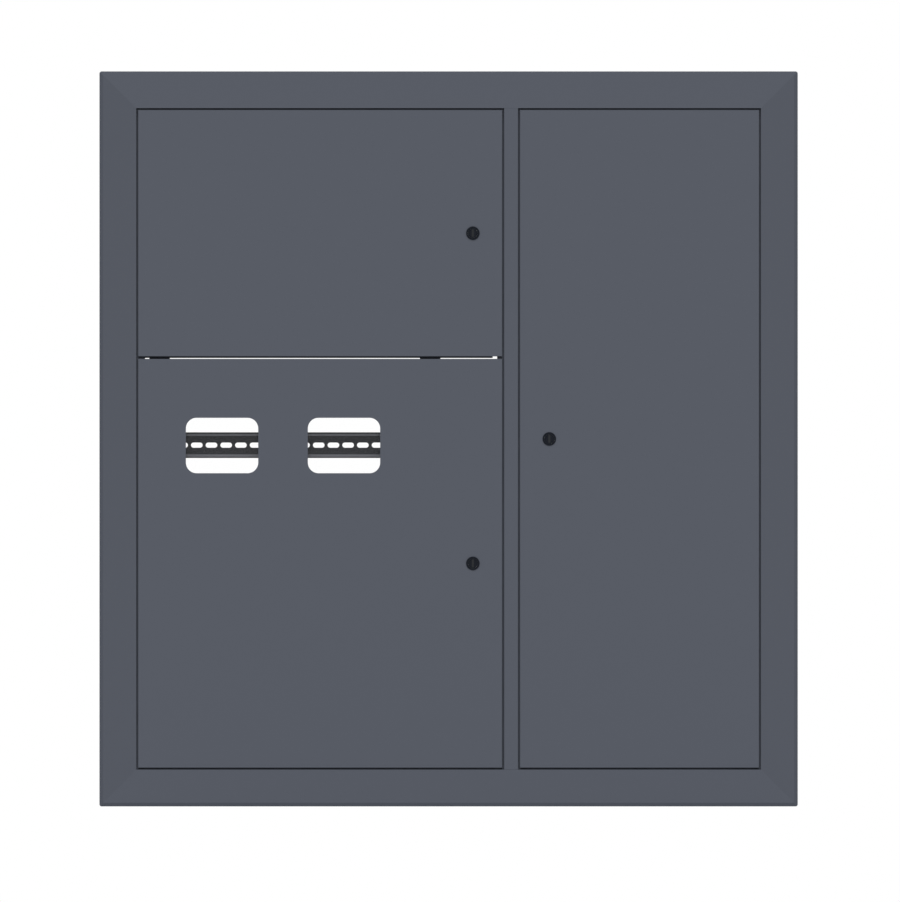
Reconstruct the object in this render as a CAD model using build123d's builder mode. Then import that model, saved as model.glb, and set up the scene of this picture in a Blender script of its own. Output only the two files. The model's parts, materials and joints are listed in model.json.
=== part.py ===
from build123d import *
import os

os.makedirs("parts", exist_ok=True)

# Floor distribution cabinet with three doors, made to sit in a wall niche.
# Millimetres. X to the right, Y into the wall, Z up. The back plane is Y = 0 and the
# origin is the centre of the four wall-fixing holes in the rear flanges.

# Overall sizes, read from the photo and set by the usual 950 x 1000 x 140 cabinet
frame_w = 950.0
frame_h = 1000.0
depth = 140.0
lock_head_h = 1.5
front = -(depth - lock_head_h)
sheet = 1.2

# Trim frame around the doors
trim_w = 50.0
open_x = frame_w / 2 - trim_w
open_z = frame_h / 2 - trim_w
trim_slope = 1.5
roll_w = 5.0
roll_d = 4.5
trim_edge_d = 13.0
lip_d = 19.8
lip_w = 12.0
corner_r = 3.0

# Body behind the trim
trim_over = 25.0
body_x, body_z = frame_w / 2 - trim_over, frame_h / 2 - trim_over
body_front = front + lip_d + sheet
flange_back = 25.0
fix_hole_r = 4.5
fix_down = 100.0
fix_x, fix_z = body_x - flange_back / 2, body_z - fix_down
entry_len = 150.0
entry_deep = 60.0
entry_in = (150.0, 330.0, 185.0)
entry_x = (entry_in[0] - body_x, entry_in[1] - body_x, body_x - entry_in[2])

# Centre post and the partition that starts inside it
post_x0, post_x1 = 75.5, 94.5
post_lip0, post_lip1 = 66.0, 104.0
part_x = post_x0 + sheet

# Doors
gap = 2.5
door_d = 15.0
upper_z0, upper_z1 = 112.2, open_z - gap
lower_z0, lower_z1 = -(open_z - gap), 108.9
left_x0, left_x1 = -(open_x - gap), post_x0 - gap
right_x0, right_x1 = post_x1 + gap, open_x - gap
door_edge_r = 1.0
stiff_w, stiff_brim, stiff_h, stiff_end = 24.0, 8.0, 8.8, 6.0

# Hinges: a pin 8 mm in from the door edge and 6 mm behind its face
pin_in = 8.0
pin_d = 6.0
pin_r = 2.5
pin_fit = 0.06
knuckle_r = 4.2
knuckle_h = 20.0
ear_t = 2.5
ear_gap = 0.1
hinge_inset = 70.0
notch_gap = 3.0

# Locks
lock_in = 40.0
lock_r = 9.2
barrel_r = 8.0
barrel_end_d = 21.4
rotor_r = 6.5
shaft_r = 4.5
turn_fit = 0.06
cam_len = 42.0
cam_w = 15.0
cam_t = 2.0

# Windows in the lower door
win_w, win_h, win_r = 98.4, 75.3, 14.5
win_in, win_apart, win_down = 114.3, 165.9, 117.9
win_x = (left_x0 + win_in, left_x0 + win_in + win_apart)
win_z = lower_z1 - win_down
pane_rim, pane_t, retainer_rim, retainer_t = 12.0, 2.0, 3.0, 1.0

# Shelf between the left compartments
shelf_z = 110.1
shelf_end_gap = 6.0
shelf_x1 = post_lip0 - shelf_end_gap
shelf_d = 30.0
shelf_rim = 15.0
shelf_hole_x, shelf_hole_w, shelf_hole_d = 90.0, 110.0, 50.0

# Uprights and what they carry
up_w, up_deep, up_t = 28.0, 20.0, 1.5
up_left_in, up_right_in = 19.8, 91.1
up_x = (-(open_x - lip_w) + up_left_in, post_lip0 - up_right_in)
up_face = -(sheet + up_deep)
up_slot_w, up_slot_h = 8.0, 15.0
mid_x = sum(up_x) / 2
rail_w, rail_h, rail_t = 35.0, 7.5, 1.0
rail_base = 27.0
slot_l, slot_w, slot_pitch = 15.8, 7.0, 20.0
rail_over = 10.4
breaker_down = (115.0, 240.0)
breaker_z = (body_z - breaker_down[0], body_z - breaker_down[1])
meter_z = win_z + 0.5
meter_len, meter_slots, slot_shift = 150.0, 7, 5.6
meter_bar_up, meter_bar_down = 78.5, 81.5
meter_bar_z = (meter_z + meter_bar_up, meter_z - meter_bar_down)
bar_h, bar_deep = 30.0, 12.0
strap_w, strap_t, strap_out, strap_end = 20.0, 1.5, 26.0, 3.0
neutral_up, earth_up = 34.9, 75.0
neutral_z, earth_z = shelf_z + neutral_up, earth_up - body_z
bus_h, bus_t, bus_out = 12.0, 6.0, 24.0
bus_foot_h, insulator_w, support_w = 20.0, 18.0, 12.0
wire_hole, wire_pitch, wire_holes = 5.0, 36.0, 9


def block(x0, x1, y0, y1, z0, z1, mode=Mode.ADD):
    """A straight block between two corners, added to or cut from the open part."""
    with Locations(((x0 + x1) / 2, (y0 + y1) / 2, (z0 + z1) / 2)):
        Box(abs(x1 - x0), abs(y1 - y0), abs(z1 - z0), mode=mode)


def folded(plane, path, thick, length, turn=1):
    """A sheet folded along a path and drawn out to a length.

    The path is the outer line of the folds, and turn is 1 where the metal lies to the left of
    it on the sketch plane and -1 where it lies to the right.
    """
    with BuildSketch(plane) as section:
        with BuildLine():
            Polyline(path)
            offset(amount=thick, side=Side.LEFT if turn > 0 else Side.RIGHT,
                   kind=Kind.INTERSECTION)
        make_face()
    extrude(section.sketch, amount=length)


def rod_y(x, z, y0, y1, radius, mode=Mode.ADD):
    """A round bar along Y from y0 to y1, added to or cut from the open part."""
    with BuildSketch(Plane.XZ.offset(-y0)) as profile:
        with Locations((x, z)):
            Circle(radius)
    extrude(profile.sketch, amount=-(y1 - y0), mode=mode)


def rod_z(x, y, z0, z1, radius, mode=Mode.ADD):
    """A round bar along Z from z0 to z1, added to or cut from the open part."""
    with BuildSketch(Plane.XY.offset(z0)) as profile:
        with Locations((x, y)):
            Circle(radius)
    extrude(profile.sketch, amount=z1 - z0, mode=mode)


# Trim frame: the fold line, u outwards from the door opening and d back from the front
trim_folds = [
    (-lip_w, lip_d), (0, lip_d), (0, 0),
    (trim_w - roll_w, trim_slope), (trim_w, roll_d), (trim_w, trim_edge_d),
]
mitre_in, mitre_out = -25.0, trim_w + 10.0


def trim_member(across, sign):
    """One folded, mitred member: across is True for top and bottom, sign picks the side."""
    if across:
        path = [(front + d, sign * (open_z + u)) for u, d in trim_folds]
        folded(Plane.YZ.offset(-frame_w / 2), path, sheet, frame_w, -sign)
        mitre = [(sx * (open_x + m), sign * (open_z + m))
                 for sx, m in ((-1, mitre_in), (1, mitre_in), (1, mitre_out), (-1, mitre_out))]
    else:
        path = [(sign * (open_x + u), front + d) for u, d in trim_folds]
        folded(Plane.XY.offset(-frame_h / 2), path, sheet, frame_h, sign)
        mitre = [(sign * (open_x + m), sz * (open_z + m))
                 for sz, m in ((-1, mitre_in), (1, mitre_in), (1, mitre_out), (-1, mitre_out))]
    with BuildSketch(Plane.XZ) as profile:
        with BuildLine():
            Polyline(mitre, close=True)
        make_face()
    extrude(profile.sketch, amount=depth, mode=Mode.INTERSECT)
    with BuildSketch(Plane.XZ) as profile:
        RectangleRounded(frame_w, frame_h, corner_r)
    extrude(profile.sketch, amount=depth, mode=Mode.INTERSECT)


with BuildPart() as trim_top:
    trim_member(True, 1)
trim_top.part.label = "trim_top"
export_step(trim_top.part, "parts/trim_top.step")

with BuildPart() as trim_bottom:
    trim_member(True, -1)
trim_bottom.part.label = "trim_bottom"
export_step(trim_bottom.part, "parts/trim_bottom.step")

with BuildPart() as trim_left:
    trim_member(False, -1)
trim_left.part.label = "trim_left"
export_step(trim_left.part, "parts/trim_left.step")

with BuildPart() as trim_right:
    trim_member(False, 1)
trim_right.part.label = "trim_right"
export_step(trim_right.part, "parts/trim_right.step")

# Body walls: C sections with a front flange behind the trim lip and a rear flange
lip_x = open_x - lip_w
lip_z = open_z - lip_w


def side_wall(sign):
    """Left or right wall: a C section, its flanges cut short for the end walls."""
    path = [(sign * lip_x, body_front), (sign * body_x, body_front), (sign * body_x, 0),
            (sign * (body_x - flange_back), 0)]
    folded(Plane.XY.offset(-body_z), path, sheet, 2 * body_z, sign)
    inside = sign * (body_x - sheet)
    for end in (-1, 1):
        block(0, inside, body_front, 0, end * (body_z - sheet), end * body_z, Mode.SUBTRACT)
    for z in (-fix_z, fix_z):
        rod_y(sign * fix_x, z, -sheet, 0, fix_hole_r, Mode.SUBTRACT)


def end_wall(sign):
    """Top or bottom wall: a C section notched at its corners, with three cable entries."""
    path = [(body_front, sign * lip_z), (body_front, sign * body_z), (0, sign * body_z),
            (0, sign * (body_z - flange_back))]
    folded(Plane.YZ.offset(sheet - body_x), path, sheet, 2 * (body_x - sheet), -sign)
    under = sign * (body_z - sheet)
    for side in (-1, 1):
        block(side * lip_x, side * body_x, body_front, body_front + sheet, 0, under,
              Mode.SUBTRACT)
        block(side * (body_x - flange_back), side * body_x, -sheet, 0, 0, under, Mode.SUBTRACT)
    with BuildSketch(Plane.XY.offset(under)) as profile:
        with Locations([(x, (body_front - sheet) / 2) for x in entry_x]):
            Rectangle(entry_len, entry_deep)
    extrude(profile.sketch, amount=sign * sheet, mode=Mode.SUBTRACT)


with BuildPart() as left_wall:
    side_wall(-1)
left_wall.part.label = "left_wall"
export_step(left_wall.part, "parts/left_wall.step")

with BuildPart() as right_wall:
    side_wall(1)
right_wall.part.label = "right_wall"
export_step(right_wall.part, "parts/right_wall.step")

with BuildPart() as top_wall:
    end_wall(1)
top_wall.part.label = "top_wall"
export_step(top_wall.part, "parts/top_wall.step")

with BuildPart() as bottom_wall:
    end_wall(-1)
bottom_wall.part.label = "bottom_wall"
export_step(bottom_wall.part, "parts/bottom_wall.step")

# Centre post: a hat section whose lips are the stops of the doors' free edges
with BuildPart() as centre_post:
    post_folds = [(post_lip0, lip_d), (post_x0, lip_d), (post_x0, 0),
                  (post_x1, 0), (post_x1, lip_d), (post_lip1, lip_d)]
    folded(Plane.XY.offset(-open_z), [(x, front + d) for x, d in post_folds], sheet, 2 * open_z)
    for sign in (-1, 1):
        block(post_lip0, post_lip1, front + lip_d, body_front, sign * lip_z, sign * open_z,
              Mode.SUBTRACT)
centre_post.part.label = "centre_post"
export_step(centre_post.part, "parts/centre_post.step")

# Partition between the power side and the low-voltage side, with two cable holes
part_front = 8.0
part_hole_w, part_hole_h, part_hole_z = 60.0, 40.0, 300.0
with BuildPart() as partition_wall:
    block(part_x, part_x + sheet, front + part_front, -sheet, sheet - body_z, body_z - sheet)
    for sign in (-1, 1):
        block(part_x, part_x + sheet, front, body_front + sheet, sign * lip_z, sign * body_z,
              Mode.SUBTRACT)
    with BuildSketch(Plane.YZ.offset(part_x)):
        with Locations(((front + lip_d) / 2, 0)):
            with GridLocations(0, 2 * part_hole_z, 1, 2):
                Rectangle(part_hole_w, part_hole_h)
    extrude(amount=sheet, mode=Mode.SUBTRACT)
partition_wall.part.label = "partition_wall"
export_step(partition_wall.part, "parts/partition_wall.step")

# Shelf between the upper and the lower left compartment, a tray with its rims up
with BuildPart() as compartment_shelf:
    shelf_x0, shelf_y0 = sheet - body_x, front + shelf_d
    shelf_y = (shelf_y0 + up_face) / 2
    block(shelf_x0, shelf_x1, shelf_y0, up_face, shelf_z, shelf_z + shelf_rim)
    offset(amount=-sheet, openings=faces().sort_by(Axis.Z)[-1])
    with BuildSketch(Plane.XY.offset(shelf_z)):
        with Locations((mid_x, shelf_y)):
            with GridLocations(2 * shelf_hole_x, 0, 2, 1):
                Rectangle(shelf_hole_w, shelf_hole_d)
    extrude(amount=sheet, mode=Mode.SUBTRACT)
compartment_shelf.part.label = "compartment_shelf"
export_step(compartment_shelf.part, "parts/compartment_shelf.step")


# The slots of an upright lie halfway between the things that it carries
cover_under, cover_over, cover_in, cover_deep, cover_fix_in = 63.0, 65.0, 60.0, 12.0, 16.0
cover_z0, cover_z1 = breaker_z[1] - cover_under, breaker_z[0] + cover_over
cover_y = front + cover_in
cover_fix_z = (cover_z0 + cover_fix_in, cover_z1 - cover_fix_in)
carried = sorted([flange_back - body_z, earth_z, *meter_bar_z, neutral_z, *cover_fix_z,
                  *breaker_z, body_z - flange_back])
up_slots = [(low + high) / 2 for low, high in zip(carried, carried[1:])]


def upright(x):
    """A full-height channel, open to the back, with a foot plate on each rear flange."""
    top, foot = body_z - sheet, body_z - flange_back
    half = up_w / 2
    path = [(x - half, -sheet), (x - half, up_face), (x + half, up_face), (x + half, -sheet)]
    folded(Plane.XY.offset(-top), path, up_t, 2 * top)
    for end in (-1, 1):
        block(x - half, x + half, -sheet - up_t, -sheet, end * foot, end * top)
    with BuildSketch(Plane.XZ.offset(-up_face)) as profile:
        with Locations([(x, z) for z in up_slots]):
            Rectangle(up_slot_w, up_slot_h)
    extrude(profile.sketch, amount=-up_t, mode=Mode.SUBTRACT)


with BuildPart() as upright_left:
    upright(up_x[0])
upright_left.part.label = "upright_left"
export_step(upright_left.part, "parts/upright_left.step")

with BuildPart() as upright_right:
    upright(up_x[1])
upright_right.part.label = "upright_right"
export_step(upright_right.part, "parts/upright_right.step")


def hat_rail(x0, x1, back, z):
    """A 35 mm hat rail whose base lies on the plane y = back."""
    half, base, brim = rail_w / 2, rail_base / 2, rail_h - rail_t
    path = [(brim, -half), (brim, -base), (0, -base), (0, base), (brim, base), (brim, half)]
    folded(Plane.YZ.offset(x0), [(back - out, z + up) for out, up in path], rail_t, x1 - x0)


rail_x0, rail_x1 = up_x[0] - rail_over, up_x[1] + rail_over

with BuildPart() as breaker_rail_upper:
    hat_rail(rail_x0, rail_x1, up_face, breaker_z[0])
breaker_rail_upper.part.label = "breaker_rail_upper"
export_step(breaker_rail_upper.part, "parts/breaker_rail_upper.step")

with BuildPart() as breaker_rail_lower:
    hat_rail(rail_x0, rail_x1, up_face, breaker_z[1])
breaker_rail_lower.part.label = "breaker_rail_lower"
export_step(breaker_rail_lower.part, "parts/breaker_rail_lower.step")

# Cover over the breaker rails, a shallow tray with one row of module openings per rail
module_w, module_h = 288.0, 46.0
with BuildPart() as breaker_cover:
    block(rail_x0, rail_x1, cover_y, cover_y + cover_deep, cover_z0, cover_z1)
    offset(amount=-sheet, openings=faces().sort_by(Axis.Y)[-1])
    with BuildSketch(Plane.XZ.offset(-cover_y)):
        with Locations([(mid_x, z) for z in breaker_z]):
            Rectangle(module_w, module_h)
    extrude(amount=-sheet, mode=Mode.SUBTRACT)
breaker_cover.part.label = "breaker_cover"
export_step(breaker_cover.part, "parts/breaker_cover.step")

# Hexagon standoffs between the uprights and the cover
standoff_r = 4.6
with BuildPart() as cover_standoffs:
    with BuildSketch(Plane.XZ.offset(-up_face)):
        with Locations([(x, z) for x in up_x for z in cover_fix_z]):
            RegularPolygon(standoff_r, 6)
    extrude(amount=up_face - cover_y - sheet)
cover_standoffs.part.label = "cover_standoffs"
export_step(cover_standoffs.part, "parts/cover_standoffs.step")


def meter_bar(z):
    """A horizontal channel, open to the back, across both uprights."""
    x0, x1 = up_x[0] - up_w / 2, up_x[1] + up_w / 2
    face, half = up_face - bar_deep, bar_h / 2
    path = [(up_face, z - half), (face, z - half), (face, z + half), (up_face, z + half)]
    folded(Plane.YZ.offset(x0), path, up_t, x1 - x0, -1)


with BuildPart() as meter_bar_upper:
    meter_bar(meter_bar_z[0])
meter_bar_upper.part.label = "meter_bar_upper"
export_step(meter_bar_upper.part, "parts/meter_bar_upper.step")

with BuildPart() as meter_bar_lower:
    meter_bar(meter_bar_z[1])
meter_bar_lower.part.label = "meter_bar_lower"
export_step(meter_bar_lower.part, "parts/meter_bar_lower.step")

# Straps that carry a meter rail in front of the two bars
strap_back = up_face - bar_deep
strap_face = strap_back - strap_out
strap_lap = bar_h - 4
foot_z0, leg_z0 = (meter_bar_z[1] + side * strap_lap / 2 for side in (-1, 1))
leg_z1, foot_z1 = (meter_bar_z[0] + side * strap_lap / 2 for side in (-1, 1))
strap_folds = [
    (strap_back, foot_z0), (strap_back, leg_z0), (strap_face + strap_t, leg_z0),
    (strap_face + strap_t, leg_z1), (strap_back, leg_z1), (strap_back, foot_z1),
]
strap_off = meter_len / 2 - strap_w / 2 - strap_end


def meter_straps(centre):
    """The two straps behind one meter rail, one at each end."""
    for x in (centre - strap_off, centre + strap_off):
        folded(Plane.YZ.offset(x - strap_w / 2), strap_folds, strap_t, strap_w)


with BuildPart() as meter_straps_left:
    meter_straps(win_x[0])
meter_straps_left.part.label = "meter_straps_left"
export_step(meter_straps_left.part, "parts/meter_straps_left.step")

with BuildPart() as meter_straps_right:
    meter_straps(win_x[1])
meter_straps_right.part.label = "meter_straps_right"
export_step(meter_straps_right.part, "parts/meter_straps_right.step")


def meter_rail(centre):
    """A short slotted rail on two straps, its row of slots a little right of the centre."""
    hat_rail(centre - meter_len / 2, centre + meter_len / 2, strap_face, meter_z)
    with BuildSketch(Plane.XZ.offset(-strap_face)) as profile:
        with Locations((centre + slot_shift, meter_z)):
            with GridLocations(slot_pitch, 0, meter_slots, 1):
                SlotOverall(slot_l, slot_w)
    extrude(profile.sketch, amount=rail_t, mode=Mode.SUBTRACT)


with BuildPart() as meter_rail_left:
    meter_rail(win_x[0])
meter_rail_left.part.label = "meter_rail_left"
export_step(meter_rail_left.part, "parts/meter_rail_left.step")

with BuildPart() as meter_rail_right:
    meter_rail(win_x[1])
meter_rail_right.part.label = "meter_rail_right"
export_step(meter_rail_right.part, "parts/meter_rail_right.step")

# Neutral bar on insulators above the shelf, earth bar low in the meter compartment
bus_y = up_face - bus_out


def bus_bar(z):
    """A flat bar across both uprights with a row of wire holes."""
    block(rail_x0, rail_x1, bus_y - bus_t, bus_y, z - bus_h / 2, z + bus_h / 2)
    with BuildSketch(Plane.XZ.offset(-bus_y)) as profile:
        with Locations((mid_x, z)):
            with GridLocations(wire_pitch, 0, wire_holes, 1):
                Rectangle(wire_hole, wire_hole)
    extrude(profile.sketch, amount=bus_t, mode=Mode.SUBTRACT)


def bus_feet(z, wide):
    """The two blocks between the uprights and a bar."""
    for x in up_x:
        block(x - wide / 2, x + wide / 2, bus_y, up_face, z - bus_foot_h / 2, z + bus_foot_h / 2)


with BuildPart() as neutral_bar:
    bus_bar(neutral_z)
neutral_bar.part.label = "neutral_bar"
export_step(neutral_bar.part, "parts/neutral_bar.step")

with BuildPart() as neutral_insulators:
    bus_feet(neutral_z, insulator_w)
neutral_insulators.part.label = "neutral_insulators"
export_step(neutral_insulators.part, "parts/neutral_insulators.step")

with BuildPart() as earth_bar:
    bus_bar(earth_z)
earth_bar.part.label = "earth_bar"
export_step(earth_bar.part, "parts/earth_bar.step")

with BuildPart() as earth_bar_supports:
    bus_feet(earth_z, support_w)
earth_bar_supports.part.label = "earth_bar_supports"
export_step(earth_bar_supports.part, "parts/earth_bar_supports.step")


strip_z, strip_h, strip_back = 210.0, 40.0, -5.0
tie_w, tie_h, tie_pitch, tie_slots = 24.0, 8.0, 56.0, 6


def low_voltage_strip(z):
    """A channel between the partition and the right wall, with tie slots in its face."""
    x0, x1, half = part_x + sheet, body_x - sheet, strip_h / 2
    path = [(strip_back, z - half), (up_face, z - half), (up_face, z + half),
            (strip_back, z + half)]
    folded(Plane.YZ.offset(x0), path, up_t, x1 - x0, -1)
    with BuildSketch(Plane.XZ.offset(-up_face)) as profile:
        with Locations(((x0 + x1) / 2, z)):
            with GridLocations(tie_pitch, 0, tie_slots, 1):
                Rectangle(tie_w, tie_h)
    extrude(profile.sketch, amount=-up_t, mode=Mode.SUBTRACT)


with BuildPart() as low_voltage_strip_upper:
    low_voltage_strip(strip_z)
low_voltage_strip_upper.part.label = "low_voltage_strip_upper"
export_step(low_voltage_strip_upper.part, "parts/low_voltage_strip_upper.step")

with BuildPart() as low_voltage_strip_lower:
    low_voltage_strip(-strip_z)
low_voltage_strip_lower.part.label = "low_voltage_strip_lower"
export_step(low_voltage_strip_lower.part, "parts/low_voltage_strip_lower.step")

# Earth stud of the cabinet, on the bottom wall
stud_r, stud_len, nut_r, nut_t = 3.0, 22.0, 6.0, 5.0
with BuildPart() as earth_stud:
    with BuildSketch(Plane.XY.offset(sheet - body_z)):
        with Locations((0, body_front / 2)):
            RegularPolygon(nut_r, 6)
    extrude(amount=nut_t)
    with BuildSketch(Plane.XY.offset(sheet - body_z + nut_t)):
        with Locations((0, body_front / 2)):
            Circle(stud_r)
    extrude(amount=stud_len - nut_t)
earth_stud.part.label = "earth_stud"
export_step(earth_stud.part, "parts/earth_stud.step")


def door_pan(x0, x1, z0, z1, hinge_sign, hinge_zs, lock_z):
    """A folded door pan, open to the back, with notches for the knuckles and a lock hole."""
    block(x0, x1, front, front + door_d, z0, z1)
    offset(amount=-sheet, openings=faces().sort_by(Axis.Y)[-1])
    fillet(faces().sort_by(Axis.Y)[0].edges(), door_edge_r)
    edge = x0 if hinge_sign < 0 else x1
    reach = knuckle_h / 2 + notch_gap
    for z in hinge_zs:
        block(edge, edge - hinge_sign * sheet, front + sheet, front + door_d,
              z - reach, z + reach, Mode.SUBTRACT)
    lock_x = (x1 if hinge_sign < 0 else x0) + hinge_sign * lock_in
    rod_y(lock_x, lock_z, front, front + sheet, barrel_r, Mode.SUBTRACT)


def hinge_heights(z0, z1):
    """Heights of the lower and the upper hinge of a door."""
    return (z0 + hinge_inset, z1 - hinge_inset)


upper_hinges = hinge_heights(upper_z0, upper_z1)
lower_hinges = hinge_heights(lower_z0, lower_z1)
right_hinges = (lower_z0 + hinge_inset, upper_z1 - hinge_inset)
upper_lock_z = (upper_z0 + upper_z1) / 2
lower_lock_z = (lower_z0 + lower_z1) / 2
right_lock_z = (lower_z0 + upper_z1) / 2
left_mid, right_mid = (left_x0 + left_x1) / 2, (right_x0 + right_x1) / 2

with BuildPart() as upper_door:
    door_pan(left_x0, left_x1, upper_z0, upper_z1, -1, upper_hinges, upper_lock_z)
upper_door.part.label = "upper_door"
export_step(upper_door.part, "parts/upper_door.step")

with BuildPart() as lower_door:
    door_pan(left_x0, left_x1, lower_z0, lower_z1, -1, lower_hinges, lower_lock_z)
    with BuildSketch(Plane.XZ.offset(-front)):
        with Locations([(x, win_z) for x in win_x]):
            RectangleRounded(win_w, win_h, win_r)
    extrude(amount=-sheet, mode=Mode.SUBTRACT)
lower_door.part.label = "lower_door"
export_step(lower_door.part, "parts/lower_door.step")

with BuildPart() as right_door:
    door_pan(right_x0, right_x1, lower_z0, upper_z1, 1, right_hinges, right_lock_z)
right_door.part.label = "right_door"
export_step(right_door.part, "parts/right_door.step")


def stiffener(x, z0, z1):
    """A vertical hat stiffener on the back of a door face."""
    seat, half = front + 2 * sheet, stiff_w / 2
    top = seat + stiff_h
    path = [(x - half - stiff_brim, seat), (x - half, seat), (x - half, top),
            (x + half, top), (x + half, seat), (x + half + stiff_brim, seat)]
    folded(Plane.XY.offset(z0), path, sheet, z1 - z0, -1)


with BuildPart() as upper_door_stiffener:
    stiffener(left_mid, upper_z0 + stiff_end, upper_z1 - stiff_end)
upper_door_stiffener.part.label = "upper_door_stiffener"
export_step(upper_door_stiffener.part, "parts/upper_door_stiffener.step")

with BuildPart() as lower_door_stiffener:
    stiffener(left_mid, lower_z0 + stiff_end, win_z - win_h / 2 - pane_rim - stiff_end)
lower_door_stiffener.part.label = "lower_door_stiffener"
export_step(lower_door_stiffener.part, "parts/lower_door_stiffener.step")

with BuildPart() as right_door_stiffener:
    stiffener(right_mid, lower_z0 + stiff_end, upper_z1 - stiff_end)
right_door_stiffener.part.label = "right_door_stiffener"
export_step(right_door_stiffener.part, "parts/right_door_stiffener.step")


def window_pane(x):
    """A clear pane on the back of the door face."""
    block(x - win_w / 2 - pane_rim, x + win_w / 2 + pane_rim, front + sheet,
          front + sheet + pane_t, win_z - win_h / 2 - pane_rim, win_z + win_h / 2 + pane_rim)


def window_retainer(x):
    """A frame that holds a pane against the door face."""
    with BuildSketch(Plane.XZ.offset(-(front + sheet + pane_t))) as profile:
        with Locations((x, win_z)):
            Rectangle(win_w + 2 * pane_rim, win_h + 2 * pane_rim)
            Rectangle(win_w + 2 * retainer_rim, win_h + 2 * retainer_rim, mode=Mode.SUBTRACT)
    extrude(profile.sketch, amount=-retainer_t)


with BuildPart() as window_pane_left:
    window_pane(win_x[0])
window_pane_left.part.label = "window_pane_left"
export_step(window_pane_left.part, "parts/window_pane_left.step")

with BuildPart() as window_pane_right:
    window_pane(win_x[1])
window_pane_right.part.label = "window_pane_right"
export_step(window_pane_right.part, "parts/window_pane_right.step")

with BuildPart() as window_retainer_left:
    window_retainer(win_x[0])
window_retainer_left.part.label = "window_retainer_left"
export_step(window_retainer_left.part, "parts/window_retainer_left.step")

with BuildPart() as window_retainer_right:
    window_retainer(win_x[1])
window_retainer_right.part.label = "window_retainer_right"
export_step(window_retainer_right.part, "parts/window_retainer_right.step")

# Hinges. The pivot lies inside the door pan; the knuckle stands on the trim lip
left_pin_x = left_x0 + pin_in
right_pin_x = right_x1 - pin_in
pin_y = front + pin_d
knuckle_leaf, knuckle_foot, knuckle_t = (1.4, 0.6), 8.0, 1.5
base_y, reach = front + sheet, knuckle_h / 2 + ear_gap
ear_front, ear_out, ear_in, relief, base_in, base_t = 5.0, 5.0, 12.0, 7.0, 24.0, 2.0


def knuckles(x, sign, heights):
    """The fixed half of two hinges: a barrel on a bent plate that stands on the trim lip."""
    lip, inner, outer = front + lip_d, x - sign * knuckle_leaf[0], x + sign * knuckle_leaf[1]
    toe = x + sign * knuckle_foot
    leaf = [(inner, pin_y), (inner, lip), (toe, lip), (toe, lip - knuckle_t),
            (outer, lip - knuckle_t), (outer, pin_y)]
    for z in heights:
        with BuildSketch(Plane.XY.offset(z - knuckle_h / 2)) as profile:
            with BuildLine():
                Polyline(leaf, close=True)
            make_face()
            with Locations((x, pin_y)):
                Circle(knuckle_r)
                Circle(pin_r + pin_fit, mode=Mode.SUBTRACT)
        extrude(profile.sketch, amount=knuckle_h)


def hinge_brackets(x, sign, heights):
    """The door half of two hinges: a base on the door face and an ear at each end of the pin."""
    for z in heights:
        ends = z - reach - ear_t, z + reach + ear_t
        block(x - sign * relief, x - sign * base_in, base_y, base_y + base_t, *ends)
        for end, inner in zip(ends, (z - reach, z + reach)):
            with BuildSketch(Plane.XY.offset(min(end, inner))) as profile:
                with BuildLine():
                    Polyline([(x + sign * ear_out, base_y), (x - sign * ear_in, base_y),
                              (x - sign * ear_in, base_y + base_t),
                              (x - sign * relief, pin_y + ear_front),
                              (x + sign * ear_out, pin_y + ear_front)], close=True)
                make_face()
            extrude(profile.sketch, amount=ear_t)


def hinge_pins(x, heights):
    """Two plain pins, each held between the ears of its bracket and turning in the knuckle."""
    for z in heights:
        rod_z(x, pin_y, z - reach, z + reach, pin_r)


with BuildPart() as upper_hinge_knuckles:
    knuckles(left_pin_x, -1, upper_hinges)
upper_hinge_knuckles.part.label = "upper_hinge_knuckles"
export_step(upper_hinge_knuckles.part, "parts/upper_hinge_knuckles.step")

with BuildPart() as lower_hinge_knuckles:
    knuckles(left_pin_x, -1, lower_hinges)
lower_hinge_knuckles.part.label = "lower_hinge_knuckles"
export_step(lower_hinge_knuckles.part, "parts/lower_hinge_knuckles.step")

with BuildPart() as right_hinge_knuckles:
    knuckles(right_pin_x, 1, right_hinges)
right_hinge_knuckles.part.label = "right_hinge_knuckles"
export_step(right_hinge_knuckles.part, "parts/right_hinge_knuckles.step")

with BuildPart() as upper_hinge_brackets:
    hinge_brackets(left_pin_x, -1, upper_hinges)
upper_hinge_brackets.part.label = "upper_hinge_brackets"
export_step(upper_hinge_brackets.part, "parts/upper_hinge_brackets.step")

with BuildPart() as upper_hinge_pins:
    hinge_pins(left_pin_x, upper_hinges)
upper_hinge_pins.part.label = "upper_hinge_pins"
export_step(upper_hinge_pins.part, "parts/upper_hinge_pins.step")

with BuildPart() as lower_hinge_brackets:
    hinge_brackets(left_pin_x, -1, lower_hinges)
lower_hinge_brackets.part.label = "lower_hinge_brackets"
export_step(lower_hinge_brackets.part, "parts/lower_hinge_brackets.step")

with BuildPart() as lower_hinge_pins:
    hinge_pins(left_pin_x, lower_hinges)
lower_hinge_pins.part.label = "lower_hinge_pins"
export_step(lower_hinge_pins.part, "parts/lower_hinge_pins.step")

with BuildPart() as right_hinge_brackets:
    hinge_brackets(right_pin_x, 1, right_hinges)
right_hinge_brackets.part.label = "right_hinge_brackets"
export_step(right_hinge_brackets.part, "parts/right_hinge_brackets.step")

with BuildPart() as right_hinge_pins:
    hinge_pins(right_pin_x, right_hinges)
right_hinge_pins.part.label = "right_hinge_pins"
export_step(right_hinge_pins.part, "parts/right_hinge_pins.step")

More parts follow.
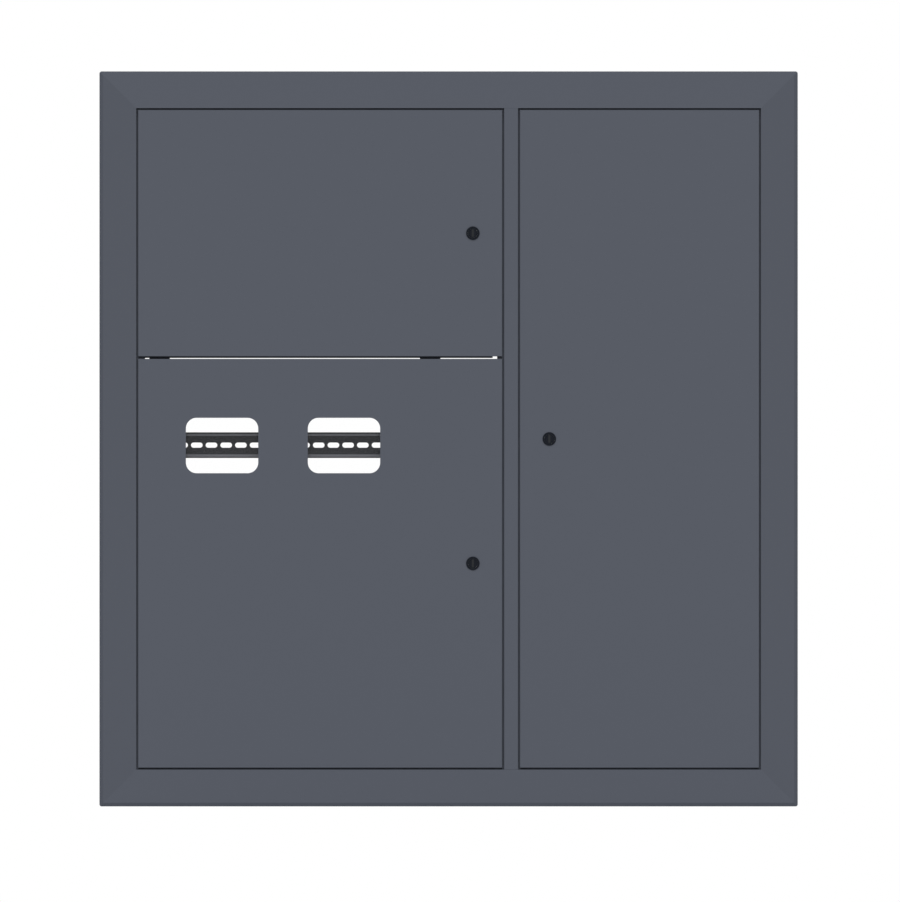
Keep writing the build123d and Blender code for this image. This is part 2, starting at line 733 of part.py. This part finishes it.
# Locks: housing with its nut, a rotor for the key and a cam that goes behind the lip
left_lock_x = left_x1 - lock_in
right_lock_x = right_x0 + lock_in
run_gap = 0.1
rotor_in, step_in = 0.4, 5.0
key_w, key_l, key_deep = 3.0, 11.0, 2.0
drive_w, drive_nut_r, drive_nut_t = 6.0, 4.6, 3.0
cam_y = front + barrel_end_d + run_gap


def turned(x, z, outline):
    """A piece turned about a lock's axis; the outline holds (radius, depth) points."""
    with BuildSketch(Plane.XY.offset(z)) as section:
        with BuildLine():
            Polyline([(x + r, front + d) for r, d in outline], close=True)
        make_face()
    revolve(section.sketch, axis=Axis((x, 0, z), (0, 1, 0)))


def lock_housing(x, z):
    """The fixed part of a lock: head and barrel, bored in two steps."""
    bore, throat = rotor_r + turn_fit, shaft_r + turn_fit
    turned(x, z, [(bore, -lock_head_h), (lock_r, -lock_head_h), (lock_r, 0), (barrel_r, 0),
                  (barrel_r, barrel_end_d), (throat, barrel_end_d), (throat, step_in),
                  (bore, step_in)])


def lock_rotor(x, z):
    """The turning part: a stepped plug, slotted for a key, with a square drive and its nut."""
    face, shoulder, end = rotor_in - lock_head_h, step_in - run_gap, barrel_end_d + run_gap
    turned(x, z, [(0, face), (rotor_r, face), (rotor_r, shoulder), (shaft_r, shoulder),
                  (shaft_r, end), (0, end)])
    with BuildSketch(Plane.XZ.offset(-(front + face))) as profile:
        with Locations((x, z)):
            Rectangle(key_w, key_l)
    extrude(profile.sketch, amount=-key_deep, mode=Mode.SUBTRACT)
    with BuildSketch(Plane.XZ.offset(-cam_y)) as profile:
        with Locations((x, z)):
            Rectangle(drive_w, drive_w)
    extrude(profile.sketch, amount=-cam_t)
    with BuildSketch(Plane.XZ.offset(-(cam_y + cam_t))) as profile:
        with Locations((x, z)):
            RegularPolygon(drive_nut_r, 6)
    extrude(profile.sketch, amount=-drive_nut_t)


def lock_cam(x, z):
    """The cam, hanging down when the lock is open, with a square hole on the drive."""
    with BuildSketch(Plane.XZ.offset(-cam_y)) as profile:
        with Locations((x, z - cam_len / 2)):
            Rectangle(cam_w, cam_len)
        with Locations((x, z)):
            Circle(cam_w / 2)
            Rectangle(drive_w, drive_w, mode=Mode.SUBTRACT)
    extrude(profile.sketch, amount=-cam_t)


with BuildPart() as upper_lock_housing:
    lock_housing(left_lock_x, upper_lock_z)
upper_lock_housing.part.label = "upper_lock_housing"
export_step(upper_lock_housing.part, "parts/upper_lock_housing.step")

with BuildPart() as lower_lock_housing:
    lock_housing(left_lock_x, lower_lock_z)
lower_lock_housing.part.label = "lower_lock_housing"
export_step(lower_lock_housing.part, "parts/lower_lock_housing.step")

with BuildPart() as right_lock_housing:
    lock_housing(right_lock_x, right_lock_z)
right_lock_housing.part.label = "right_lock_housing"
export_step(right_lock_housing.part, "parts/right_lock_housing.step")

with BuildPart() as upper_lock_rotor:
    lock_rotor(left_lock_x, upper_lock_z)
upper_lock_rotor.part.label = "upper_lock_rotor"
export_step(upper_lock_rotor.part, "parts/upper_lock_rotor.step")

with BuildPart() as lower_lock_rotor:
    lock_rotor(left_lock_x, lower_lock_z)
lower_lock_rotor.part.label = "lower_lock_rotor"
export_step(lower_lock_rotor.part, "parts/lower_lock_rotor.step")

with BuildPart() as right_lock_rotor:
    lock_rotor(right_lock_x, right_lock_z)
right_lock_rotor.part.label = "right_lock_rotor"
export_step(right_lock_rotor.part, "parts/right_lock_rotor.step")

with BuildPart() as upper_lock_cam:
    lock_cam(left_lock_x, upper_lock_z)
upper_lock_cam.part.label = "upper_lock_cam"
export_step(upper_lock_cam.part, "parts/upper_lock_cam.step")

with BuildPart() as lower_lock_cam:
    lock_cam(left_lock_x, lower_lock_z)
lower_lock_cam.part.label = "lower_lock_cam"
export_step(lower_lock_cam.part, "parts/lower_lock_cam.step")

with BuildPart() as right_lock_cam:
    lock_cam(right_lock_x, right_lock_z)
right_lock_cam.part.label = "right_lock_cam"
export_step(right_lock_cam.part, "parts/right_lock_cam.step")
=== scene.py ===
import json
import math

import bmesh
import bpy
from mathutils import Matrix, Vector


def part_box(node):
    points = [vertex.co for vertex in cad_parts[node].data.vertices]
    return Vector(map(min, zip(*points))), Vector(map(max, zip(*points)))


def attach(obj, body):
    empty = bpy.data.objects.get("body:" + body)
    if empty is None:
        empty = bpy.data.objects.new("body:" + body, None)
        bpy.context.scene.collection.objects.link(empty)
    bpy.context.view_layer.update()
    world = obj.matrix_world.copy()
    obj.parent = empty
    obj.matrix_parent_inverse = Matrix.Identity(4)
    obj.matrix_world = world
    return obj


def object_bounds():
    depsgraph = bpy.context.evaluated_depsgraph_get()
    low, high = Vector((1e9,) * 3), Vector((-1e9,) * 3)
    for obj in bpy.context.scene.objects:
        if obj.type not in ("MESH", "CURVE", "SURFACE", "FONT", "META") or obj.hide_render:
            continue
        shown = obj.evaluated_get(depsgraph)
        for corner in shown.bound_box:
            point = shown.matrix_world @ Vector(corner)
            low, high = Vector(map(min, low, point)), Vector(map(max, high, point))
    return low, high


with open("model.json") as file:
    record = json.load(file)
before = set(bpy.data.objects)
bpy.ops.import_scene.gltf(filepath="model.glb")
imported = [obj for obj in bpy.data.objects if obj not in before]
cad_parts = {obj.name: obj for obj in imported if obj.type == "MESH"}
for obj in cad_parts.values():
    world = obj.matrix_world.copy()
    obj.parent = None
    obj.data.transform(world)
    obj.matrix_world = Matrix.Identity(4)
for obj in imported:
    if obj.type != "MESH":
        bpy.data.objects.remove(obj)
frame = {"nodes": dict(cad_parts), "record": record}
box_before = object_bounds()

MM = 0.001
FACE_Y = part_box("upper_door")[0].y             # front faces of trim and doors
BASE_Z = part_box("trim_bottom")[0].z            # the surface the cabinet is shown on
DOOR_SHEET = 1.2 * MM
FOLDED_SHEET = 1.5 * MM                        # uprights, meter bars and straps
RAIL_SHEET = 1.0 * MM
DOORS = ("upper", "lower", "right")
UPRIGHTS = ("upright_left", "upright_right")
TOWARDS_FRONT = Vector((0, -1, 0))
TOWARDS_BACK = Vector((0, 1, 0))

# The photograph's frame: a straight front view with no perspective
PHOTO_W, PHOTO_H = 900, 902
METRES_PER_PIXEL = 1.3605 * MM
CENTRE_PX = (448.6, 438.9)                     # where the object's centre falls in the photograph
CAMERA_AWAY, CAMERA_REACH = 4.0, 50.0

# Colours
PAINT = (0.096, 0.106, 0.131)
PAINT_SIDES_SHADED = tuple(0.93 * c for c in PAINT)   # painted shade: the upright trim members get a darker copy of the paint
# Rail colours hold painted light and shade: the web darker as painted shade, the brims lighter as
# painted light, their outer edges darker as painted shade
RAIL_WEB_SHADED = (0.039, 0.040, 0.046)
RAIL_BRIM_LIT = (0.195, 0.198, 0.220)
RAIL_EDGE_SHADE = (0.026, 0.027, 0.030)
ZINC = (0.50, 0.50, 0.48)
LOCK_BLACK = (0.009, 0.011, 0.016)
KEY_STEEL = (0.013, 0.015, 0.018)
BRASS = (0.70, 0.50, 0.20)
INSULATOR = (0.32, 0.32, 0.31)
CLEAR = (0.95, 0.97, 0.98)
CLEAR_ALPHA = 0.01
# painted shade: near-black for the flat crosses that stand in for the screw heads' recesses
RECESS_SHADE = (0.02, 0.02, 0.02)
FLOOR = (0.80, 0.80, 0.80)

# Grain of a finish: noise scale, spread of the colour and height of the bump
COAT_GRAIN = (1400.0, 0.02, 0.03 * MM)
RAIL_GRAIN = (600.0, 0.25, 0.02 * MM)
ZINC_GRAIN = (600.0, 0.08, 0.01 * MM)
LOCK_GRAIN = (1800.0, 0.1, 0.02 * MM)
BRASS_GRAIN = (500.0, 0.06, 0.01 * MM)
MOULD_GRAIN = (1500.0, 0.03, 0.02 * MM)
RECESS_SHADE_GRAIN = (1500.0, 0.1, 0.01 * MM)
GRAIN_DETAIL = 3.0
GRAIN_FROM, GRAIN_TO = 0.3, 0.7
BUMP_STRENGTH = 0.5

# Where the painted light on a rail's brims and the painted shade along their outer edges lie, as
# shares of its depth and height
BRIM_LIGHT_STOPS = [(0.13, 1), (0.22, 0)]
EDGE_SHADE_STOPS = [(0.03, 1), (0.06, 0), (0.925, 0), (0.95, 1)]

# Screw heads: radius and height
BAR_SCREW = (4.5 * MM, 2.6 * MM)
BUS_SCREW = (4.2 * MM, 2.4 * MM)
STRAP_SCREW = (3.8 * MM, 2.2 * MM)
RAIL_SCREW = (4.0 * MM, 2.2 * MM)
COVER_SCREW = (4.5 * MM, 2.4 * MM)

# Hinges and locks
EAR_SPAN = 25.2 * MM                           # between the outer faces of a hinge's two ears
RIVET_IN, RIVET_UP, BRACKET_SHEET = 6 * MM, 7 * MM, 2 * MM
KEY_BAR_W, KEY_BAR_H = 2.9 * MM, 10.9 * MM
KEY_BAR_FRONT, KEY_BAR_BACK = 0.3 * MM, 1.9 * MM
NUT_PLATE, NUT_PLATE_SHEET = 20 * MM, 2 * MM

# Floor and light
FLOOR_REACH = 12.0
SKY_LEVEL = 0.3


def new_material(name, colour, roughness, metallic=0.0, specular=0.5):
    """A material with one shader; returns it with its node tree and shader node."""
    material = bpy.data.materials.new(name)
    material.use_nodes = True
    tree = material.node_tree
    shader = tree.nodes["Principled BSDF"]
    shader.inputs["Base Color"].default_value = (*colour, 1.0)
    shader.inputs["Roughness"].default_value = roughness
    shader.inputs["Metallic"].default_value = metallic
    shader.inputs["Specular IOR Level"].default_value = specular
    return material, tree, shader


def add_grain(tree, shader, colour, scale, colour_spread, bump_height):
    """Fine mottling of the colour and a shallow bump, both from one noise in object space."""
    where = tree.nodes.new("ShaderNodeTexCoord")
    noise = tree.nodes.new("ShaderNodeTexNoise")
    noise.inputs["Scale"].default_value = scale
    noise.inputs["Detail"].default_value = GRAIN_DETAIL
    tree.links.new(where.outputs["Object"], noise.inputs["Vector"])
    ramp = tree.nodes.new("ShaderNodeValToRGB")
    dark, light = ramp.color_ramp.elements
    dark.position, light.position = GRAIN_FROM, GRAIN_TO
    dark.color = (*[c * (1.0 - colour_spread) for c in colour], 1.0)
    light.color = (*[min(1.0, c * (1.0 + colour_spread)) for c in colour], 1.0)
    tree.links.new(noise.outputs["Fac"], ramp.inputs["Fac"])
    tree.links.new(ramp.outputs["Color"], shader.inputs["Base Color"])
    bump = tree.nodes.new("ShaderNodeBump")
    bump.inputs["Distance"].default_value = bump_height
    bump.inputs["Strength"].default_value = BUMP_STRENGTH
    tree.links.new(noise.outputs["Fac"], bump.inputs["Height"])
    tree.links.new(bump.outputs["Normal"], shader.inputs["Normal"])


def grained(name, colour, roughness, grain, metallic=0.0, specular=0.5):
    """A material whose colour and surface carry a grain."""
    material, tree, shader = new_material(name, colour, roughness, metallic, specular)
    add_grain(tree, shader, colour, *grain)
    return material


def add_ramp(tree, factor, stops):
    """A grey ramp over a factor; stops lists (place, value)."""
    ramp = tree.nodes.new("ShaderNodeValToRGB")
    elements = ramp.color_ramp.elements
    while len(elements) < len(stops):
        elements.new(0.5)
    for element, (place, value) in zip(elements, stops):
        element.position = place
        element.color = (value, value, value, 1.0)
    tree.links.new(factor, ramp.inputs["Fac"])
    return ramp.outputs["Color"]


def add_mix(tree, factor, under, over):
    """A colour mix; under and over are sockets or plain colours."""
    mix = tree.nodes.new("ShaderNodeMix")
    mix.data_type = "RGBA"
    tree.links.new(factor, mix.inputs["Factor"])
    for slot, source in (("A", under), ("B", over)):
        if isinstance(source, tuple):
            mix.inputs[slot].default_value = (*source, 1.0)
        else:
            tree.links.new(source, mix.inputs[slot])
    return mix.outputs["Result"]


def add_rail_painted_light_and_shade(material):
    """Painted light on a rail's brims, lighter than its web in painted shade, with a line of
    painted shade along their outer edges.
    """
    tree = material.node_tree
    colour = tree.nodes["Principled BSDF"].inputs["Base Color"]
    where = tree.nodes.new("ShaderNodeTexCoord")
    parts = tree.nodes.new("ShaderNodeSeparateXYZ")
    tree.links.new(where.outputs["Generated"], parts.inputs["Vector"])
    brim_light_mask = add_ramp(tree, parts.outputs["Y"], BRIM_LIGHT_STOPS)
    edge_shade_mask = add_ramp(tree, parts.outputs["Z"], EDGE_SHADE_STOPS)
    web = colour.links[0].from_socket
    lit_brims_and_shaded_edges = add_mix(tree, edge_shade_mask, RAIL_BRIM_LIT, RAIL_EDGE_SHADE)
    tree.links.new(add_mix(tree, brim_light_mask, web, lit_brims_and_shaded_edges), colour)


def make_materials():
    """Every finish by the record's slot name, and three that only the looks tell apart: a darker
    copy of the paint as painted shade, key steel, and painted shade for screw recesses.
    """
    rail = grained("rail steel, painted shade and light", RAIL_WEB_SHADED, 0.6, RAIL_GRAIN, specular=0.1)
    add_rail_painted_light_and_shade(rail)
    pane, _, pane_shader = new_material("clear pane", CLEAR, 0.04)
    pane_shader.inputs["Alpha"].default_value = CLEAR_ALPHA
    return {
        "grey_paint": grained("grey powder coat", PAINT, 0.65, COAT_GRAIN, specular=0.12),
        "grey_paint_sides_shaded": grained("grey powder coat, upright trim, painted shade", PAINT_SIDES_SHADED, 0.65,
                                    COAT_GRAIN, specular=0.12),
        "rail_steel": rail,
        "zinc_plated": grained("zinc plate", ZINC, 0.38, ZINC_GRAIN, metallic=1.0),
        "black_lock": grained("black lock body", LOCK_BLACK, 0.6, LOCK_GRAIN, specular=0.06),
        "key_steel": grained("dark key steel", KEY_STEEL, 0.5, LOCK_GRAIN, specular=0.12),
        "brass": grained("bare brass", BRASS, 0.32, BRASS_GRAIN, metallic=1.0),
        "insulator": grained("moulded insulator", INSULATOR, 0.5, MOULD_GRAIN),
        "clear_pane": pane,
        "recess": grained("shadowed recess", RECESS_SHADE, 0.8, RECESS_SHADE_GRAIN),
    }


MATERIALS = make_materials()

# Folded sheets get the small outer radius of a real bend
BENT = ("trim_top", "trim_bottom", "trim_left", "trim_right", "centre_post",
        "upper_door", "lower_door", "right_door", "breaker_cover", "compartment_shelf")
BEND_RADIUS, BEND_SEGMENTS, BEND_ANGLE = 0.45 * MM, 2, math.radians(40)
WELD_REACH = 0.005 * MM


def round_edges(node):
    """Welds the imported facets and rounds the sharp edges of one CAD node."""
    weld = node.modifiers.new("weld", "WELD")
    weld.merge_threshold = WELD_REACH
    bevel = node.modifiers.new("bend radius", "BEVEL")
    bevel.width = BEND_RADIUS
    bevel.segments = BEND_SEGMENTS
    bevel.limit_method = "ANGLE"
    bevel.angle_limit = BEND_ANGLE
    bevel.harden_normals = True


def dress_nodes():
    """The CAD nodes' finishes, and the bend radius on the folded ones."""
    slot_of = {row["node"]: row["material_slot"] for row in frame["record"]["subparts"]}
    for name, node in frame["nodes"].items():
        upright_trim = name in ("trim_left", "trim_right")
        node.data.materials.clear()
        # the upright trims take the darker copy of the paint, a painted shade
        node.data.materials.append(
            MATERIALS["grey_paint_sides_shaded" if upright_trim else slot_of[name]])
        if name in BENT:
            round_edges(node)


# Small pieces that only the looks need

def centre(name):
    """The middle of a CAD node's box."""
    low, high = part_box(name)
    return Vector(((low.x + high.x) / 2, (low.y + high.y) / 2, (low.z + high.z) / 2))


def in_mm(*pairs):
    """A lathe profile given in millimetres."""
    return [(along * MM, radius * MM) for along, radius in pairs]


def add_block(mesh, low, high):
    """A block between two corners."""
    low, high = Vector(low), Vector(high)
    made = bmesh.ops.create_cube(mesh, size=1.0)
    size = high - low
    matrix = Matrix.Translation((low + high) / 2) @ Matrix.Diagonal((*size, 1.0))
    bmesh.ops.transform(mesh, matrix=matrix, verts=made["verts"])


def add_lathe(mesh, origin, axis, profile, sides=24):
    """A turned form: profile lists (distance along axis, radius) from the seat outwards."""
    turn = Vector(axis).normalized().to_track_quat("Z", "Y").to_matrix()
    rings = []
    for along, radius in profile:
        ring = []
        for k in range(sides):
            angle = 2 * math.pi * k / sides
            local = Vector((radius * math.cos(angle), radius * math.sin(angle), along))
            ring.append(mesh.verts.new(Vector(origin) + turn @ local))
        rings.append(ring)
    for near, far in zip(rings, rings[1:]):
        for k in range(sides):
            j = (k + 1) % sides
            mesh.faces.new((near[k], near[j], far[j], far[k]))
    mesh.faces.new(list(reversed(rings[0])))
    mesh.faces.new(rings[-1])


def finish_piece(mesh, name, body, slot, material=None, smooth=True):
    """Turns the mesh into an object that rides on a CAD body."""
    bmesh.ops.recalc_face_normals(mesh, faces=mesh.faces)
    data = bpy.data.meshes.new(name)
    mesh.to_mesh(data)
    mesh.free()
    piece = bpy.data.objects.new(name, data)
    bpy.context.scene.collection.objects.link(piece)
    data.materials.append(MATERIALS[material or slot])
    if smooth:
        for face in data.polygons:
            face.use_smooth = True
        data.set_sharp_from_angle(angle=math.radians(35))
    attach(piece, body)


def screw_heads(name, places, size):
    """Domed zinc heads that face the front, on the given seats, each with a thin near-black cross
    on its top as painted shade for its crossed recess.
    """
    radius, height = size
    dome = [(0, radius), (0.45 * height, radius), (0.8 * height, 0.86 * radius),
            (height, 0.6 * radius)]
    arm, half, thin = 0.42 * radius, 0.09 * radius, 0.03 * MM
    heads, crosses = bmesh.new(), bmesh.new()
    for place in places:
        seat = Vector(place)
        top = seat + TOWARDS_FRONT * height
        add_lathe(heads, seat, TOWARDS_FRONT, dome)
        for reach in (Vector((arm, thin, half)), Vector((half, thin, arm))):
            # a flat dark cross, painted shade in place of a real recess
            add_block(crosses, top - reach, top + reach)
    finish_piece(heads, name, "cabinet", "zinc_plated")
    finish_piece(crosses, name + "_painted_recess_shade", "cabinet", "zinc_plated", "recess", smooth=False)


def bar_screws():
    """Screws through rails, bars and bus bars where they cross the uprights."""
    across = [centre(name).x for name in UPRIGHTS]
    web_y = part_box("breaker_rail_upper")[1].y - RAIL_SHEET
    rails = [(x, web_y, centre(name).z)
             for name in ("breaker_rail_upper", "breaker_rail_lower") for x in across]
    screw_heads("breaker_rail_screws", rails, BAR_SCREW)
    bars = [(x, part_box(name)[0].y, centre(name).z)
            for name in ("meter_bar_upper", "meter_bar_lower") for x in across]
    screw_heads("meter_bar_screws", bars, BAR_SCREW)
    for name in ("neutral_bar", "earth_bar"):
        ends = [(x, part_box(name)[0].y, centre(name).z) for x in across]
        screw_heads(name + "_end_screws", ends, BUS_SCREW)


def strap_and_rail_screws():
    """Screws in the feet of the straps and at both ends of each meter rail."""
    foot_in, foot_up, rail_left, rail_right = 10 * MM, 11 * MM, 20 * MM, 10 * MM
    foot_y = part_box("meter_bar_upper")[0].y - FOLDED_SHEET
    straps, rails = [], []
    for side in ("left", "right"):
        low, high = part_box("meter_straps_" + side)
        for x in (low.x + foot_in, high.x - foot_in):
            straps += [(x, foot_y, high.z - foot_up), (x, foot_y, low.z + foot_up)]
        low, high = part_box("meter_rail_" + side)
        rails += [(x, high.y - RAIL_SHEET, (low.z + high.z) / 2)
                  for x in (low.x + rail_left, high.x - rail_right)]
    screw_heads("strap_foot_screws", straps, STRAP_SCREW)
    screw_heads("meter_rail_screws", rails, RAIL_SCREW)


def cover_screws():
    """The breaker cover's screws, on the centres of its four standoffs."""
    standoff_r, standoff_half = 4.6 * MM, 4 * MM
    low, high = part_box("cover_standoffs")
    cover_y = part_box("breaker_cover")[0].y
    places = [(x, cover_y, z) for x in (low.x + standoff_r, high.x - standoff_r)
              for z in (low.z + standoff_half, high.z - standoff_half)]
    screw_heads("cover_screws", places, COVER_SCREW)


def nut_plates():
    """Plates behind the slots of the uprights at the shelf, for the nuts of its rear screws."""
    slot_z = (centre("meter_bar_upper").z + centre("neutral_bar").z) / 2
    half = NUT_PLATE / 2
    plates = bmesh.new()
    for name in UPRIGHTS:
        x, seat = centre(name).x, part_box(name)[0].y + FOLDED_SHEET
        add_block(plates, (x - half, seat, slot_z - half),
                  (x + half, seat + NUT_PLATE_SHEET, slot_z + half))
    finish_piece(plates, "shelf_nut_plates", "cabinet", "grey_paint", smooth=False)


def lock_nuts():
    """The hexagon nut that clamps each lock, on the back of its door."""
    for door in DOORS:
        lock = centre(door + "_lock_housing")
        nut = bmesh.new()
        add_lathe(nut, (lock.x, FACE_Y + DOOR_SHEET, lock.z), TOWARDS_BACK,
                  in_mm((0, 12), (3.2, 12), (4, 11)), sides=6)
        finish_piece(nut, door + "_lock_nut", door + "_door", "zinc_plated", smooth=False)


def key_bars():
    """The dark steel bar that a key turns, in the slot of each lock rotor."""
    for door in DOORS:
        lock, face = centre(door + "_lock_rotor"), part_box(door + "_lock_rotor")[0].y
        bar = bmesh.new()
        add_block(bar, (lock.x - KEY_BAR_W / 2, face + KEY_BAR_FRONT, lock.z - KEY_BAR_H / 2),
                  (lock.x + KEY_BAR_W / 2, face + KEY_BAR_BACK, lock.z + KEY_BAR_H / 2))
        finish_piece(bar, door + "_lock_key_bar", door + "_lock", "black_lock", "key_steel",
                     smooth=False)


def ear_screws():
    """A screw head on each hinge ear, at the ends of the pins."""
    head = in_mm((0, 2.8), (0.8, 2.8), (1.4, 1.9))
    for door in DOORS:
        low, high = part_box(door + "_hinge_brackets")
        pin = centre(door + "_hinge_pins")
        heads = bmesh.new()
        for z, up in ((low.z, -1), (low.z + EAR_SPAN, 1), (high.z - EAR_SPAN, -1), (high.z, 1)):
            add_lathe(heads, (pin.x, pin.y, z), (0, 0, up), head)
        finish_piece(heads, door + "_hinge_screws", door + "_door", "zinc_plated")


def bracket_rivets():
    """Two rivet heads on the base of each hinge bracket, seen with the door open."""
    head = in_mm((0, 2.6), (0.7, 2.3), (1.1, 1.4))
    seat_y = FACE_Y + DOOR_SHEET + BRACKET_SHEET
    for door in DOORS:
        low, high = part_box(door + "_hinge_brackets")
        x = low.x + RIVET_IN if door == "right" else high.x - RIVET_IN
        rivets = bmesh.new()
        for z in (low.z + EAR_SPAN / 2, high.z - EAR_SPAN / 2):
            for up in (-RIVET_UP, RIVET_UP):
                add_lathe(rivets, (x, seat_y, z + up), TOWARDS_BACK, head)
        finish_piece(rivets, door + "_bracket_rivets", door + "_door", "zinc_plated")


# Floor, light and camera

def make_floor():
    """A pale floor under the cabinet, wide enough to fill every view."""
    reach = FLOOR_REACH
    data = bpy.data.meshes.new("floor")
    data.from_pydata([(-reach, -reach, BASE_Z), (reach, -reach, BASE_Z),
                      (reach, reach, BASE_Z), (-reach, reach, BASE_Z)], [], [(0, 1, 2, 3)])
    floor = bpy.data.objects.new("floor", data)
    bpy.context.scene.collection.objects.link(floor)
    material, _, _ = new_material("pale floor", FLOOR, 0.9, specular=0.1)
    data.materials.append(material)


def white_world(light_level):
    """An even white sky for light, and pure white wherever the camera, a mirror or a pane looks."""
    world = bpy.data.worlds.new("studio")
    bpy.context.scene.world = world
    world.use_nodes = True
    tree = world.node_tree
    tree.nodes.clear()
    output = tree.nodes.new("ShaderNodeOutputWorld")
    mix = tree.nodes.new("ShaderNodeMixShader")
    for socket, strength in ((1, light_level), (2, 1.0)):
        sky = tree.nodes.new("ShaderNodeBackground")
        sky.inputs["Color"].default_value = (1, 1, 1, 1)
        sky.inputs["Strength"].default_value = strength
        tree.links.new(sky.outputs["Background"], mix.inputs[socket])
    path = tree.nodes.new("ShaderNodeLightPath")
    looked_at = path.outputs["Is Camera Ray"]
    for ray in ("Is Transmission Ray", "Is Glossy Ray"):
        either = tree.nodes.new("ShaderNodeMath")
        either.operation = "MAXIMUM"
        tree.links.new(looked_at, either.inputs[0])
        tree.links.new(path.outputs[ray], either.inputs[1])
        looked_at = either.outputs["Value"]
    tree.links.new(looked_at, mix.inputs["Fac"])
    tree.links.new(mix.outputs["Shader"], output.inputs["Surface"])


def soft_sun(name, towards, spread, power):
    """A broad even light; towards is the direction in which it shines."""
    lamp = bpy.data.lights.new(name, "SUN")
    lamp.angle = spread
    lamp.energy = power
    holder = bpy.data.objects.new(name, lamp)
    bpy.context.scene.collection.objects.link(holder)
    holder.rotation_euler = Vector(towards).to_track_quat("-Z", "Y").to_euler()


def place_camera():
    """A straight front view that covers the same ground as the photograph."""
    data = bpy.data.cameras.new("camera")
    data.type = "ORTHO"
    data.ortho_scale = max(PHOTO_W, PHOTO_H) * METRES_PER_PIXEL
    data.clip_end = CAMERA_REACH
    camera = bpy.data.objects.new("camera", data)
    bpy.context.scene.collection.objects.link(camera)
    low, high = box_before
    middle = (Vector(low) + Vector(high)) / 2
    camera.location = (middle.x + (PHOTO_W / 2 - CENTRE_PX[0]) * METRES_PER_PIXEL,
                       -CAMERA_AWAY,
                       middle.z + (CENTRE_PX[1] - PHOTO_H / 2) * METRES_PER_PIXEL)
    camera.rotation_euler = (math.radians(90), 0, 0)
    bpy.context.scene.camera = camera


dress_nodes()
bar_screws()
strap_and_rail_screws()
cover_screws()
nut_plates()
lock_nuts()
key_bars()
ear_screws()
bracket_rivets()

make_floor()
white_world(SKY_LEVEL)
soft_sun("front light", (0.0, 0.82, -0.57), math.radians(30), 1.07)
soft_sun("level light", (0.0, 0.995, -0.10), math.radians(10), 0.845)
soft_sun("rear fill", (0.0, -0.99, -0.12), math.radians(10), 0.9)
place_camera()
bpy.context.scene.view_settings.view_transform = "Standard"
